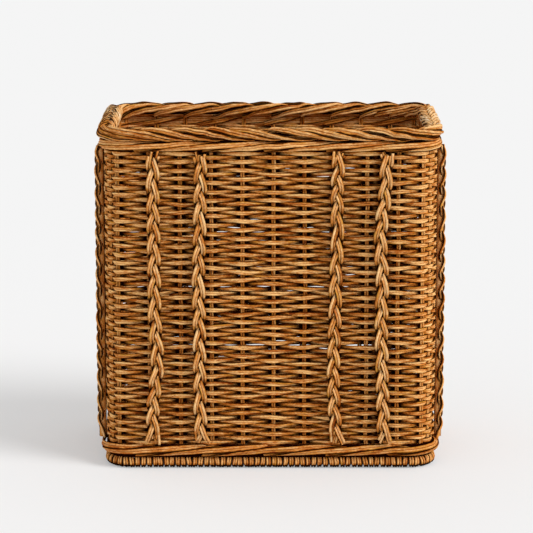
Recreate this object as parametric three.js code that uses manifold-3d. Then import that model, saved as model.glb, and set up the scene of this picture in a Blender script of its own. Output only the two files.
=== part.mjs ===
// A rattan magazine basket: an open woven box with rounded corners, a plaited rim, twelve upright
// braids and a bound foot. Millimetres, +Z up, the front faces -Y, and the origin is on the floor
// under the middle of the basket.
import * as THREE from 'three';
import { mergeVertices } from 'three/addons/utils/BufferGeometryUtils.js';
import Module from 'manifold-3d';

const wasm = await Module();
wasm.setup();

// Driving dimensions. The stake line is the closed line on which the uprights stand.
const STAKE_LINE_WIDTH = 330;
const STAKE_LINE_DEPTH = 184;
const STAKE_LINE_RADIUS = 24;
const BASKET_HEIGHT = 352;
const SEAT_GAP = 0.3;

// Stakes: pairs of thin rods that lie side by side, each pair as one flat rod. Those that cross
// the base from front to back stand a little to the right of the even places, and those of a
// corner stand at shares of its arc, counted from the long side.
const STAKE_WIDTH = 4.6;
const STAKE_THICKNESS = 3;
const STAKE_SHIFT = 3.2;
const FRONT_STAKES = 9;
const SIDE_STAKES = 4;
const CORNER_STAKE_PLACE_SHARES = [0.35, 0.62, 0.9];
const BEND_STEPS = 3;

// Weavers: the rods that go in front of one stake and behind the next, row above row. Where a
// row goes behind a stake, the wall keeps a thin skin in front of that stake.
const WEAVER_DIAMETER = 3;
const ROW_PITCH = 4.3;
const HOLLOW_SKIN = 0.7;

// Foot: a rod hoop inside a binding of cane that is wound round it turn by turn
const FOOT_HEIGHT = 12.3;
const FOOT_INSET = 1.5;
const HOOP_DIAMETER = 7;
const HOOP_CLEARANCE = 0.35;
const TURN_PITCH = 5.8;
const TURN_DEPTH = 0.9;
const BINDING_END_GAP = 0.4;
const RING_SIDES = 8;
const CORNER_STEPS = 5;

// Wales and border: bands of three strands twisted together, round the foot and the rim
const FOOT_WALE_HEIGHT = 12;
const RIM_WALE_HEIGHT = 11;
const WALE_WIDTH = 6.7;
const BORDER_HEIGHT = 13;
const BORDER_WIDTH = 18;
const BORDER_SHIFT = 0.5;
const BAND_POINTS = 6;
const VALLEY_SHARE = 0.8;

// Braids: plaits of three strands that lie on the outside of the wall
const BRAID_WIDTH = 15;
const BRAID_THICKNESS = 10;
const BRAID_LOBE = 21.6;
const BRAID_NARROW_SHARE = 0.84;
const BRAID_LOW_SHARE = 0.72;
const FRONT_BRAID_PLACE_SHARES = [-0.83, -0.505, 0.465, 0.8];
const SIDE_BRAID_PLACE_SHARES = [-0.8, 0.8];

// Sizes that follow from those above
const HALF_WIDTH = STAKE_LINE_WIDTH / 2;
const HALF_DEPTH = STAKE_LINE_DEPTH / 2;
const FLAT_X = HALF_WIDTH - STAKE_LINE_RADIUS;
const FLAT_Y = HALF_DEPTH - STAKE_LINE_RADIUS;
const CORNER_ARC = (Math.PI / 2) * STAKE_LINE_RADIUS;
const WALL_FACE = STAKE_THICKNESS / 2 + WEAVER_DIAMETER;
const STAKE_FACE = STAKE_THICKNESS / 2 + SEAT_GAP;
const HOLLOW_FACE = STAKE_FACE + HOLLOW_SKIN;
const WALE_MIDDLE = STAKE_FACE + WALE_WIDTH / 2;
const FOOT_WALE_BOTTOM = FOOT_HEIGHT + SEAT_GAP;
const WALL_BOTTOM = FOOT_WALE_BOTTOM + FOOT_WALE_HEIGHT + SEAT_GAP;
const BORDER_BOTTOM = BASKET_HEIGHT - BORDER_HEIGHT;
const STAKE_TOP = BORDER_BOTTOM - SEAT_GAP;
const RIM_WALE_BOTTOM = STAKE_TOP - RIM_WALE_HEIGHT;
const WALL_TOP = RIM_WALE_BOTTOM - SEAT_GAP;
const ACROSS_Z = FOOT_HEIGHT + SEAT_GAP + STAKE_THICKNESS / 2;
const ALONG_Z = ACROSS_Z + STAKE_THICKNESS + SEAT_GAP;
const BASE_BOTTOM = ACROSS_Z - STAKE_THICKNESS / 2 - WEAVER_DIAMETER;
const BASE_TOP = ALONG_Z + STAKE_THICKNESS / 2 + WEAVER_DIAMETER;
const BASE_INSET = FOOT_INSET + FOOT_HEIGHT / 2 + SEAT_GAP;
// The stakes lie flat on the foot as far as the inner edge of its flat top, and turn up there.
const BEND_RADIUS = FOOT_INSET + (FOOT_HEIGHT / 2) * Math.tan(Math.PI / RING_SIDES);

// The four sides in the order in which the stake line passes them, anticlockwise seen from
// above. facing is the direction that a side faces, half is half its straight length, reach is
// its distance from the middle, and shift moves its stakes along the stake line.
const LONG_SIDE = { half: FLAT_X, reach: HALF_DEPTH, stakes: FRONT_STAKES };
const SHORT_SIDE = { half: FLAT_Y, reach: HALF_WIDTH, stakes: SIDE_STAKES, shift: 0 };
const SIDES = [
  { name: 'front', facing: -Math.PI / 2, shift: STAKE_SHIFT, braids: FRONT_BRAID_PLACE_SHARES, ...LONG_SIDE },
  { name: 'right', facing: 0, braids: SIDE_BRAID_PLACE_SHARES, ...SHORT_SIDE },
  { name: 'back', facing: Math.PI / 2, shift: -STAKE_SHIFT, braids: FRONT_BRAID_PLACE_SHARES, ...LONG_SIDE },
  { name: 'left', facing: Math.PI, braids: SIDE_BRAID_PLACE_SHARES, ...SHORT_SIDE },
];
const CORNER_NAMES = ['front_right', 'back_right', 'back_left', 'front_left'];

const RATTAN = {
  stake: { color: 0x9c6a36, roughness: 0.62, metalness: 0 },
  weaver: { color: 0xb07a40, roughness: 0.58, metalness: 0 },
  braid: { color: 0xb98449, roughness: 0.55, metalness: 0 },
  border: { color: 0xb47c42, roughness: 0.55, metalness: 0 },
  foot: { color: 0x9a6836, roughness: 0.65, metalness: 0 },
};

const basket = new THREE.Group();

function addPiece(name, geometry, finish) {
  const mesh = new THREE.Mesh(geometry, new THREE.MeshStandardMaterial(RATTAN[finish]));
  mesh.name = name;
  basket.add(mesh);
}

// Where a length along the stake line lies: the point and the direction that faces outwards.
// Length 0 is the start of the front's straight.
function stationAt(length) {
  let rest = length;
  for (const { facing, half, reach } of SIDES) {
    const out = new THREE.Vector2(Math.cos(facing), Math.sin(facing));
    const along = new THREE.Vector2(-out.y, out.x);
    if (rest <= 2 * half) {
      const point = out.clone().multiplyScalar(reach).addScaledVector(along, rest - half);
      return { point, out };
    }
    rest -= 2 * half;
    if (rest <= CORNER_ARC) {
      const turned = facing + rest / STAKE_LINE_RADIUS;
      const centre = out.clone().multiplyScalar(reach - STAKE_LINE_RADIUS).addScaledVector(along, half);
      const turnedOut = new THREE.Vector2(Math.cos(turned), Math.sin(turned));
      return { point: centre.addScaledVector(turnedOut, STAKE_LINE_RADIUS), out: turnedOut };
    }
    rest -= CORNER_ARC;
  }
  return stationAt(0);
}

// Length along the stake line at which each side's straight starts.
function sideStarts() {
  let start = 0;
  return SIDES.map(({ half }) => {
    const here = start;
    start += 2 * half + CORNER_ARC;
    return here;
  });
}
const SIDE_STARTS = sideStarts();
const STAKE_LINE_LENGTH = 4 * (FLAT_X + FLAT_Y + CORNER_ARC);

function pointAt(station, offset, z) {
  const { point, out } = station;
  return new THREE.Vector3(point.x + out.x * offset, point.y + out.y * offset, z);
}

// A solid skinned over rings of points, each ring with as many points. The rings either close
// on themselves or end in two flat caps. A quad between two rings is folded from its second
// corner to its last, or from the first to the third where foldsFirst says so.
function skinned(rings, closed, foldsFirst = () => false) {
  const count = rings[0].length;
  const positions = rings.flat().flatMap((p) => [p.x, p.y, p.z]);
  const faces = [];
  const spans = closed ? rings.length : rings.length - 1;
  for (let ring = 0; ring < spans; ring++) {
    const here = ring * count;
    const next = ((ring + 1) % rings.length) * count;
    for (let k = 0; k < count; k++) {
      const l = (k + 1) % count;
      if (foldsFirst(ring, k)) {
        faces.push(here + k, next + k, next + l, here + k, next + l, here + l);
      } else {
        faces.push(here + k, next + k, here + l, here + l, next + k, next + l);
      }
    }
  }
  if (!closed) {
    const last = (rings.length - 1) * count;
    for (let k = 1; k < count - 1; k++) {
      faces.push(0, k, k + 1, last, last + k + 1, last + k);
    }
  }
  const geometry = new THREE.BufferGeometry();
  geometry.setAttribute('position', new THREE.Float32BufferAttribute(positions, 3));
  geometry.setIndex(faces);
  geometry.computeVertexNormals();
  return geometry;
}

// A sleeve: an outer and an inner skin over rings of points, joined at both ends.
function sleeve(outer, inner) {
  const count = outer[0].length;
  const bore = outer.length * count;
  const positions = [...outer, ...inner].flat().flatMap((p) => [p.x, p.y, p.z]);
  const faces = [];
  for (let k = 0; k < count; k++) {
    const l = (k + 1) % count;
    const strip = (near, far) => faces.push(near + k, far + k, near + l, near + l, far + k, far + l);
    for (let ring = 1; ring < outer.length; ring++) {
      strip((ring - 1) * count, ring * count);
    }
    for (let ring = 1; ring < inner.length; ring++) {
      strip(bore + ring * count, bore + (ring - 1) * count);
    }
    strip(bore, 0);
    strip((outer.length - 1) * count, bore + (inner.length - 1) * count);
  }
  const geometry = new THREE.BufferGeometry();
  geometry.setAttribute('position', new THREE.Float32BufferAttribute(positions, 3));
  geometry.setIndex(faces);
  geometry.computeVertexNormals();
  return geometry;
}

// A band round the basket: at each length one section, whose points are [offset, z].
function bandRound(lengths, sectionAt, foldsFirst) {
  const rings = lengths.map((length, index) => {
    const station = stationAt(length);
    return sectionAt(index).map(([offset, z]) => pointAt(station, offset, z));
  });
  return skinned(rings, true, foldsFirst);
}

// Lengths for a plain band: the two ends of each straight, and steps round each corner.
function plainLengths() {
  return SIDES.flatMap(({ half }, index) => {
    const start = SIDE_STARTS[index];
    const lengths = [start];
    for (let step = 0; step < CORNER_STEPS; step++) {
      lengths.push(start + 2 * half + (CORNER_ARC * step) / CORNER_STEPS);
    }
    return lengths;
  });
}

// Places of the stakes along a side's straight, from its middle.
function stakePlaces({ half, stakes, shift }) {
  return Array.from({ length: stakes }, (_, k) => (2 * half * (k + 0.5)) / stakes - half + shift);
}

// Lengths at which the stakes of the corner after a side stand.
function cornerLengths(index) {
  const start = SIDE_STARTS[index] + 2 * SIDES[index].half;
  const mirrored = CORNER_STAKE_PLACE_SHARES.map((share) => 1 - share).reverse();
  const shares = index % 2 === 0 ? CORNER_STAKE_PLACE_SHARES : mirrored;
  return shares.map((share) => start + CORNER_ARC * share);
}

// Lengths at which the stakes stand: evenly along each straight, and closer in each corner.
function stakeLengths() {
  return SIDES.flatMap((side, index) => {
    const middle = SIDE_STARTS[index] + side.half;
    const straight = stakePlaces(side).map((place) => middle + place);
    return [...straight, ...cornerLengths(index)];
  });
}

function toSolid(geometry) {
  const bare = geometry.clone();
  bare.deleteAttribute('normal');
  bare.deleteAttribute('uv');
  const merged = mergeVertices(bare);
  return new wasm.Manifold(
    new wasm.Mesh({
      numProp: 3,
      vertProperties: new Float32Array(merged.attributes.position.array),
      triVerts: new Uint32Array(merged.index.array),
    })
  );
}

function toGeometry(solid) {
  const mesh = solid.getMesh();
  const geometry = new THREE.BufferGeometry();
  geometry.setAttribute('position', new THREE.Float32BufferAttribute(mesh.vertProperties, 3));
  geometry.setIndex(new THREE.BufferAttribute(mesh.triVerts, 1));
  geometry.computeVertexNormals();
  return geometry;
}

// A stake's section: a flat rod with bevelled edges, as [across, through] pairs.
function stakeSection(grow) {
  const halfWidth = STAKE_WIDTH / 2 + grow;
  const halfThickness = STAKE_THICKNESS / 2 + grow;
  const flatHalf = STAKE_WIDTH / 2 - STAKE_THICKNESS / 4;
  return [
    [halfWidth, 0],
    [flatHalf, -halfThickness],
    [-flatHalf, -halfThickness],
    [-halfWidth, 0],
    [-flatHalf, halfThickness],
    [flatHalf, halfThickness],
  ];
}

// A stake pair that runs down one side, under the base and up the opposite side. It stands at
// `place` along the side, and `along` and `out` are that side's directions.
function crossingStake({ place, along, out, reach, baseZ, grow }) {
  const section = stakeSection(grow);
  const ringAt = (h, z, angle) =>
    section.map(([across, through]) => {
      const level = h + Math.cos(angle) * through;
      return new THREE.Vector3(
        along.x * (place + across) + out.x * level,
        along.y * (place + across) + out.y * level,
        z + Math.sin(angle) * through
      );
    });
  const bendAt = (side, angle) =>
    ringAt(
      side * (reach - BEND_RADIUS) + BEND_RADIUS * Math.cos(angle),
      baseZ + BEND_RADIUS + BEND_RADIUS * Math.sin(angle),
      angle
    );
  const rings = [ringAt(-reach, STAKE_TOP, Math.PI)];
  for (const [side, from] of [[-1, Math.PI], [1, 1.5 * Math.PI]]) {
    for (let step = 0; step <= BEND_STEPS; step++) {
      rings.push(bendAt(side, from + ((Math.PI / 2) * step) / BEND_STEPS));
    }
  }
  rings.push(ringAt(reach, STAKE_TOP, 2 * Math.PI));
  return skinned(rings, false);
}

// A stake pair in a corner: upright, standing on the foot.
function cornerStake({ length, grow }) {
  const { point, out } = stationAt(length);
  const along = new THREE.Vector2(-out.y, out.x);
  const ringAt = (z) =>
    stakeSection(grow).map(
      ([across, through]) =>
        new THREE.Vector3(
          point.x + along.x * across + out.x * through,
          point.y + along.y * across + out.y * through,
          z
        )
    );
  return skinned([ringAt(STAKE_TOP), ringAt(FOOT_HEIGHT + SEAT_GAP)], false);
}

// Every stake, as a name and a function that makes it, grown by a clearance for its bore.
function stakes() {
  const found = [];
  const crossing = (name, side, baseZ) => {
    const out = new THREE.Vector2(Math.cos(side.facing), Math.sin(side.facing)).negate();
    const along = new THREE.Vector2(out.y, -out.x);
    stakePlaces(side).forEach((place, k) => {
      found.push({
        name: `${name}_${k + 1}`,
        make: (grow) => crossingStake({ place, along, out, reach: side.reach, baseZ, grow }),
      });
    });
  };
  crossing('across_stake', SIDES[0], ACROSS_Z);
  crossing('along_stake', SIDES[1], ALONG_Z);
  CORNER_NAMES.forEach((corner, index) => {
    cornerLengths(index).forEach((length, k) => {
      found.push({
        name: `corner_stake_${corner}_${k + 1}`,
        make: (grow) => cornerStake({ length, grow }),
      });
    });
  });
  return found;
}

// Ring of [offset, z] round the foot's middle, with flat sides below, above, inside and outside.
function footRing(radius) {
  return Array.from({ length: RING_SIDES }, (_, k) => {
    const angle = -Math.PI + ((k + 0.5) * 2 * Math.PI) / RING_SIDES;
    return [radius * Math.cos(angle) - FOOT_INSET, radius * Math.sin(angle) + FOOT_HEIGHT / 2];
  });
}

function footHoop() {
  return bandRound(plainLengths(), () => footRing(HOOP_DIAMETER / 2));
}

// The binding: one ridge that winds round the hoop, turn beside turn, from the middle of the
// back all the way round, with a small gap between its two ends. The underside of every turn
// is flat where it stands. Its rings lean along the hoop by one pitch in one turn.
function footBinding() {
  const turns = Math.round(STAKE_LINE_LENGTH / TURN_PITCH);
  const wound = STAKE_LINE_LENGTH - BINDING_END_GAP;
  const seam = SIDE_STARTS[2] + FLAT_X;
  const pitch = wound / turns;
  const widest = FOOT_HEIGHT / 2 / Math.cos(Math.PI / RING_SIDES);
  const placed = (travel, [offset, z]) =>
    pointAt(stationAt((seam + travel) % STAKE_LINE_LENGTH), offset, z < TURN_DEPTH ? 0 : z);
  const outer = Array.from({ length: 2 * turns + 1 }, (_, half) => {
    const ring = footRing(half % 2 === 1 ? widest : widest - TURN_DEPTH);
    return ring.map((point, k) => placed((half * pitch) / 2 + (k * pitch) / RING_SIDES, point));
  });
  const corners = plainLengths()
    .map((length) => (length - seam + STAKE_LINE_LENGTH) % STAKE_LINE_LENGTH)
    .sort((a, b) => a - b);
  const inner = [0, ...corners, wound].map((travel) =>
    footRing(HOOP_DIAMETER / 2 + HOOP_CLEARANCE).map((point) => placed(travel, point))
  );
  return sleeve(outer, inner);
}

// A band of three strands twisted together. Its section has three lobes, and turns by half a
// lobe at each stake and midway between stakes. hand is 1 or -1, for the way it twists.
function twistedBand({ middle, width, bottom, height, hand }) {
  const standing = stakeLengths();
  const lengths = standing.flatMap((length, k) => {
    const next = k + 1 < standing.length ? standing[k + 1] : standing[0] + STAKE_LINE_LENGTH;
    return [length, ((length + next) / 2) % STAKE_LINE_LENGTH];
  });
  const widest = width / 2;
  const tallest = height / 2 / Math.sin(Math.PI / 3);
  return bandRound(lengths, (index) =>
    Array.from({ length: BAND_POINTS }, (_, k) => {
      const angle = (k * 2 * Math.PI) / BAND_POINTS;
      const reach = (k + index) % 2 === 0 ? 1 : VALLEY_SHARE;
      const lean = (hand * (1 - reach) * Math.PI) / BAND_POINTS;
      return [
        middle + widest * reach * Math.cos(angle + lean),
        bottom + height / 2 + tallest * reach * Math.sin(angle),
      ];
    })
  );
}

// Lengths of the wall's sections: at the stakes and at both ends of each straight.
function wallLengths() {
  const ends = SIDES.flatMap(({ half }, index) => [SIDE_STARTS[index], SIDE_STARTS[index] + 2 * half]);
  return [...stakeLengths(), ...ends].sort((a, b) => a - b);
}

// How far the even rows swing out at a length: 1 at a stake that they pass in front of, -1 at
// the next, which they pass behind, and evenly from one to the other in between.
function swingAt(length) {
  const standing = stakeLengths();
  const next = standing.findIndex((stake) => stake >= length);
  const last = next > 0 ? standing[next - 1] : standing[standing.length - 1] - STAKE_LINE_LENGTH;
  const way = (length - last) / (standing[next] - last);
  return (next % 2 === 0 ? 1 : -1) * (2 * way - 1);
}

// The woven wall, with a bore for every stake. Its outside stands out where a row passes in
// front of a stake, lies back where a row passes behind it, and is folded along the hollows.
function wallWeave(bores) {
  const rows = Math.round((WALL_TOP - WALL_BOTTOM) / ROW_PITCH);
  const sections = wallLengths().map((length) => {
    const swing = (swingAt(length) * (WALL_FACE - HOLLOW_FACE)) / 2;
    const woven = Array.from({ length: rows }, (_, row) => [
      (WALL_FACE + HOLLOW_FACE) / 2 + (row % 2 === 0 ? swing : -swing),
      WALL_BOTTOM + ((WALL_TOP - WALL_BOTTOM) * (row + 0.5)) / rows,
    ]);
    const edges = [[WALL_FACE, WALL_TOP], [-WALL_FACE, WALL_TOP], [-WALL_FACE, WALL_BOTTOM], [WALL_FACE, WALL_BOTTOM]];
    return [...woven, ...edges];
  });
  const foldsFirst = (ring, k) => {
    const here = sections[ring];
    const next = sections[(ring + 1) % sections.length];
    const l = (k + 1) % here.length;
    return here[k][0] + next[l][0] < here[l][0] + next[k][0];
  };
  const wall = bandRound(wallLengths(), (index) => sections[index], foldsFirst);
  return toGeometry(bores.reduce((solid, bore) => solid.subtract(bore), toSolid(wall)));
}

// The woven base: a mat inside the foot, with a bore for every stake that crosses it.
function baseWeave(bores) {
  const radius = STAKE_LINE_RADIUS - BASE_INSET;
  const outline = new THREE.Shape();
  SIDES.forEach(({ facing, half, reach }) => {
    const x = Math.cos(facing) * (reach - STAKE_LINE_RADIUS) - Math.sin(facing) * half;
    const y = Math.sin(facing) * (reach - STAKE_LINE_RADIUS) + Math.cos(facing) * half;
    outline.absarc(x, y, radius, facing, facing + Math.PI / 2, false);
  });
  const mat = new THREE.ExtrudeGeometry(outline, {
    depth: BASE_TOP - BASE_BOTTOM,
    bevelEnabled: false,
    curveSegments: CORNER_STEPS,
  });
  mat.translate(0, 0, BASE_BOTTOM);
  return toGeometry(bores.reduce((solid, bore) => solid.subtract(bore), toSolid(mat)));
}

// A braid that stands on the wall at a length along the stake line. Its left and right halves
// swell in turn, as the three strands cross.
function braid(length) {
  const { point, out } = stationAt(length);
  const along = new THREE.Vector2(-out.y, out.x);
  const foot = WALL_FACE + SEAT_GAP;
  const spans = 2 * Math.round((WALL_TOP - WALL_BOTTOM) / BRAID_LOBE);
  const rings = Array.from({ length: spans + 1 }, (_, k) => {
    const z = WALL_BOTTOM + ((WALL_TOP - WALL_BOTTOM) * k) / spans;
    const [left, right] = k % 2 === 0 ? [1, 0] : [0, 1];
    const wide = (full) => (BRAID_WIDTH / 2) * (full ? 1 : BRAID_NARROW_SHARE);
    const high = (full) => BRAID_THICKNESS * (full ? 1 : BRAID_LOW_SHARE);
    return [
      [wide(right), foot],
      [wide(right), foot + BRAID_THICKNESS / 2],
      [wide(right) / 2, foot + high(right)],
      [-wide(left) / 2, foot + high(left)],
      [-wide(left), foot + BRAID_THICKNESS / 2],
      [-wide(left), foot],
    ].map(
      ([across, through]) =>
        new THREE.Vector3(
          point.x + along.x * across + out.x * through,
          point.y + along.y * across + out.y * through,
          z
        )
    );
  });
  return skinned(rings, false);
}

const STAKES = stakes();
STAKES.forEach(({ name, make }) => addPiece(name, make(0), 'stake'));
const BORES = STAKES.map(({ make }) => toSolid(make(SEAT_GAP)));

addPiece('foot_hoop', footHoop(), 'foot');
addPiece('foot_binding', footBinding(), 'foot');
addPiece('base_weave', baseWeave(BORES), 'weaver');
addPiece(
  'foot_wale',
  twistedBand({
    middle: WALE_MIDDLE,
    width: WALE_WIDTH,
    bottom: FOOT_WALE_BOTTOM,
    height: FOOT_WALE_HEIGHT,
    hand: 1,
  }),
  'border'
);
addPiece('wall_weave', wallWeave(BORES), 'weaver');
addPiece(
  'rim_wale',
  twistedBand({
    middle: WALE_MIDDLE,
    width: WALE_WIDTH,
    bottom: RIM_WALE_BOTTOM,
    height: RIM_WALE_HEIGHT,
    hand: 1,
  }),
  'border'
);
addPiece(
  'rim_border',
  twistedBand({
    middle: BORDER_SHIFT,
    width: BORDER_WIDTH,
    bottom: BORDER_BOTTOM,
    height: BORDER_HEIGHT,
    hand: -1,
  }),
  'border'
);

SIDES.forEach(({ name, half, braids }, index) => {
  braids.forEach((share, k) => {
    const length = SIDE_STARTS[index] + half + share * half;
    addPiece(`braid_${name}_${k + 1}`, braid(length), 'braid');
  });
});

export default basket;
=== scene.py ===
import math

import bpy
import numpy as np
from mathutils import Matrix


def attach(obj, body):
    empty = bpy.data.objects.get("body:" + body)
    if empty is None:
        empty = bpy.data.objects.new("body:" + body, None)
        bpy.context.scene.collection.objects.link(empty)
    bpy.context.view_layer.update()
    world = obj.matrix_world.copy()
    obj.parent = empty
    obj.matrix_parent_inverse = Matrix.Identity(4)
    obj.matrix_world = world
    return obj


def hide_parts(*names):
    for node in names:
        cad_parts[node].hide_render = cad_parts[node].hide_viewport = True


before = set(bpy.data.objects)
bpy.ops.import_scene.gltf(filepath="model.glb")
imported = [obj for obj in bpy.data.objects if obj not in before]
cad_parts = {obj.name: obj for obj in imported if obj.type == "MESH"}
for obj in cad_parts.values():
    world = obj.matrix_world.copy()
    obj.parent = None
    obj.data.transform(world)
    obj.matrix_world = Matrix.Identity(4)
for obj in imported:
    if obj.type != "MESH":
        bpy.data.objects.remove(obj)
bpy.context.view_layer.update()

# Camera: in front of the basket and a little above its rim, with a long lens, as a studio
# picture of it is taken. The shift brings the basket to the height it has in that picture.
looks_down_degrees = 10.41
view = bpy.data.cameras.new("studio_camera")
view.sensor_width = 36.0
view.lens = 171.4
view.shift_y = -0.0853
camera = bpy.data.objects.new("studio_camera", view)
camera.location = (-0.0039, -2.6, 0.717)
camera.rotation_euler = (math.radians(90 - looks_down_degrees), 0.0, 0.0)
bpy.context.scene.collection.objects.link(camera)
bpy.context.scene.camera = camera

# Foot hoop: one thick rattan rod bent round and joined, on which the basket stands. It stays the
# rigid solid of the CAD model; it shows only between the turns of the binding, so its wood is
# painted near black, as the shade there.


def wood_noise(nodes, links, vector, scale, detail):
    """A noise texture that reads `vector` times `scale`, a scale for each direction."""
    stretch = nodes.new("ShaderNodeVectorMath")
    stretch.operation = "MULTIPLY"
    stretch.inputs[1].default_value = scale
    links.new(vector, stretch.inputs[0])
    noise = nodes.new("ShaderNodeTexNoise")
    noise.inputs["Scale"].default_value = 1.0
    noise.inputs["Detail"].default_value = detail
    links.new(stretch.outputs[0], noise.inputs["Vector"])
    return noise.outputs["Fac"]


hoop_finish = bpy.data.materials.new("hoop_rattan")
hoop_finish.use_nodes = True
hoop_nodes, hoop_links = hoop_finish.node_tree.nodes, hoop_finish.node_tree.links
hoop_skin = hoop_nodes["Principled BSDF"]
hoop_place = hoop_nodes.new("ShaderNodeTexCoord").outputs["Object"]
hoop_streaks = wood_noise(hoop_nodes, hoop_links, hoop_place, scale=(160, 160, 500), detail=3)
# Painted shade: the hoop's colour runs only from near black to dark brown.
hoop_painted_shade = hoop_nodes.new("ShaderNodeValToRGB")
hoop_painted_shade.color_ramp.elements[0].color = (0.02, 0.005, 0.001, 1)
hoop_painted_shade.color_ramp.elements[1].color = (0.09, 0.03, 0.006, 1)
hoop_links.new(hoop_streaks, hoop_painted_shade.inputs["Fac"])
hoop_links.new(hoop_painted_shade.outputs["Color"], hoop_skin.inputs["Base Color"])
hoop_skin.inputs["Roughness"].default_value = 0.7
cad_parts["foot_hoop"].data.materials.clear()
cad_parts["foot_hoop"].data.materials.append(hoop_finish)

# Foot binding: two thin rattan rods wound side by side round the hoop, about 170 turns, close
# enough to hide it. The turns jostle, and their undersides rest on the floor.
up = np.array([0.0, 0.0, 1.0])
whole_turn = 2 * math.pi
dice = np.random.default_rng(20)
straight_x, straight_y, corner_radius = 0.141, 0.068, 0.024
corner_arc = corner_radius * math.pi / 2
side_lengths = np.array([straight_x, straight_y, straight_x, straight_y]) * 2
side_starts = np.concatenate([[0.0], np.cumsum(side_lengths + corner_arc)])
line_length = side_starts[4]


def outline(length):
    """The closed line on which the stakes stand, anticlockwise from the left end of the front:
    the point at `length` along it and the direction that faces outwards there. On a straight
    the point is the next corner's centre, moved back along the side by what is left of it and
    out by the corner's radius; on a corner that outward direction turns with the length."""
    length = np.mod(length, line_length)
    side = np.clip(np.searchsorted(side_starts, length, side="right") - 1, 0, 3)
    past = length - side_starts[side] - side_lengths[side]
    faces = (side - 1) * math.pi / 2
    turned = faces + np.maximum(past, 0) / corner_radius
    out = np.stack([np.cos(turned), np.sin(turned), 0 * turned], -1)
    along = np.stack([-np.sin(faces), np.cos(faces), 0 * faces], -1)
    centre_x = straight_x * np.array([1, 1, -1, -1])[side]
    centre_y = straight_y * np.array([-1, 1, 1, -1])[side]
    centre = np.stack([centre_x, centre_y, 0 * turned], -1)
    return centre + along * np.minimum(past, 0)[..., None] + out * corner_radius, out


def placed(length, out, height):
    """The point `out` in front of the stake line and `height` above the floor."""
    point, outward = outline(length)
    return point + outward * np.asarray(out)[..., None] + up * np.asarray(height)[..., None]


def wander(count, where, longest):
    """A slow uneven change for each of `count` rods, between about -1 and 1: five sine waves over
    `where`, the longest `longest` and the shortest a fifth of it. All close on the stake line."""
    order = np.arange(1, 6)
    waves = np.round(line_length / longest) * order
    phase = dice.uniform(0, whole_turn, (count, len(order)))
    size = dice.normal(0, 0.5, (count, len(order))) / np.sqrt(order)
    angle = whole_turn * waves * np.asarray(where)[..., None] / line_length
    if angle.ndim == 2:
        angle = angle[None]
    return (size[:, None] * np.sin(angle + phase[:, None])).sum(-1)


def unit(vectors):
    """Vectors of length one."""
    return vectors / np.linalg.norm(vectors, axis=-1, keepdims=True)


def rod_faces(count, steps, sides, closed):
    """The faces of `count` rods with `steps` rings of `sides` points: a quad between each two
    neighbours of a ring and the same two of the next ring, and a flat cut at both ends of an
    open rod. Returned are all corners, face after face, and each face's number of corners."""
    spans = steps if closed else steps - 1
    rod, ring, k = np.meshgrid(np.arange(count), np.arange(spans), np.arange(sides), indexing="ij")
    start = (rod * steps + ring) * sides
    end = (rod * steps + (ring + 1) % steps) * sides
    nearby = (k + 1) % sides
    walls = np.stack([start + k, start + nearby, end + nearby, end + k], -1).reshape(-1, 4)
    corners, sizes = walls.ravel(), np.full(len(walls), 4)
    if not closed:
        first = (np.arange(count) * steps * sides)[:, None]
        last = first + (steps - 1) * sides
        cuts = np.concatenate([first + np.arange(sides)[::-1], last + np.arange(sides)])
        corners = np.concatenate([corners, cuts.ravel()])
        sizes = np.concatenate([sizes, np.full(len(cuts), sides)])
    return corners, sizes


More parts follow.
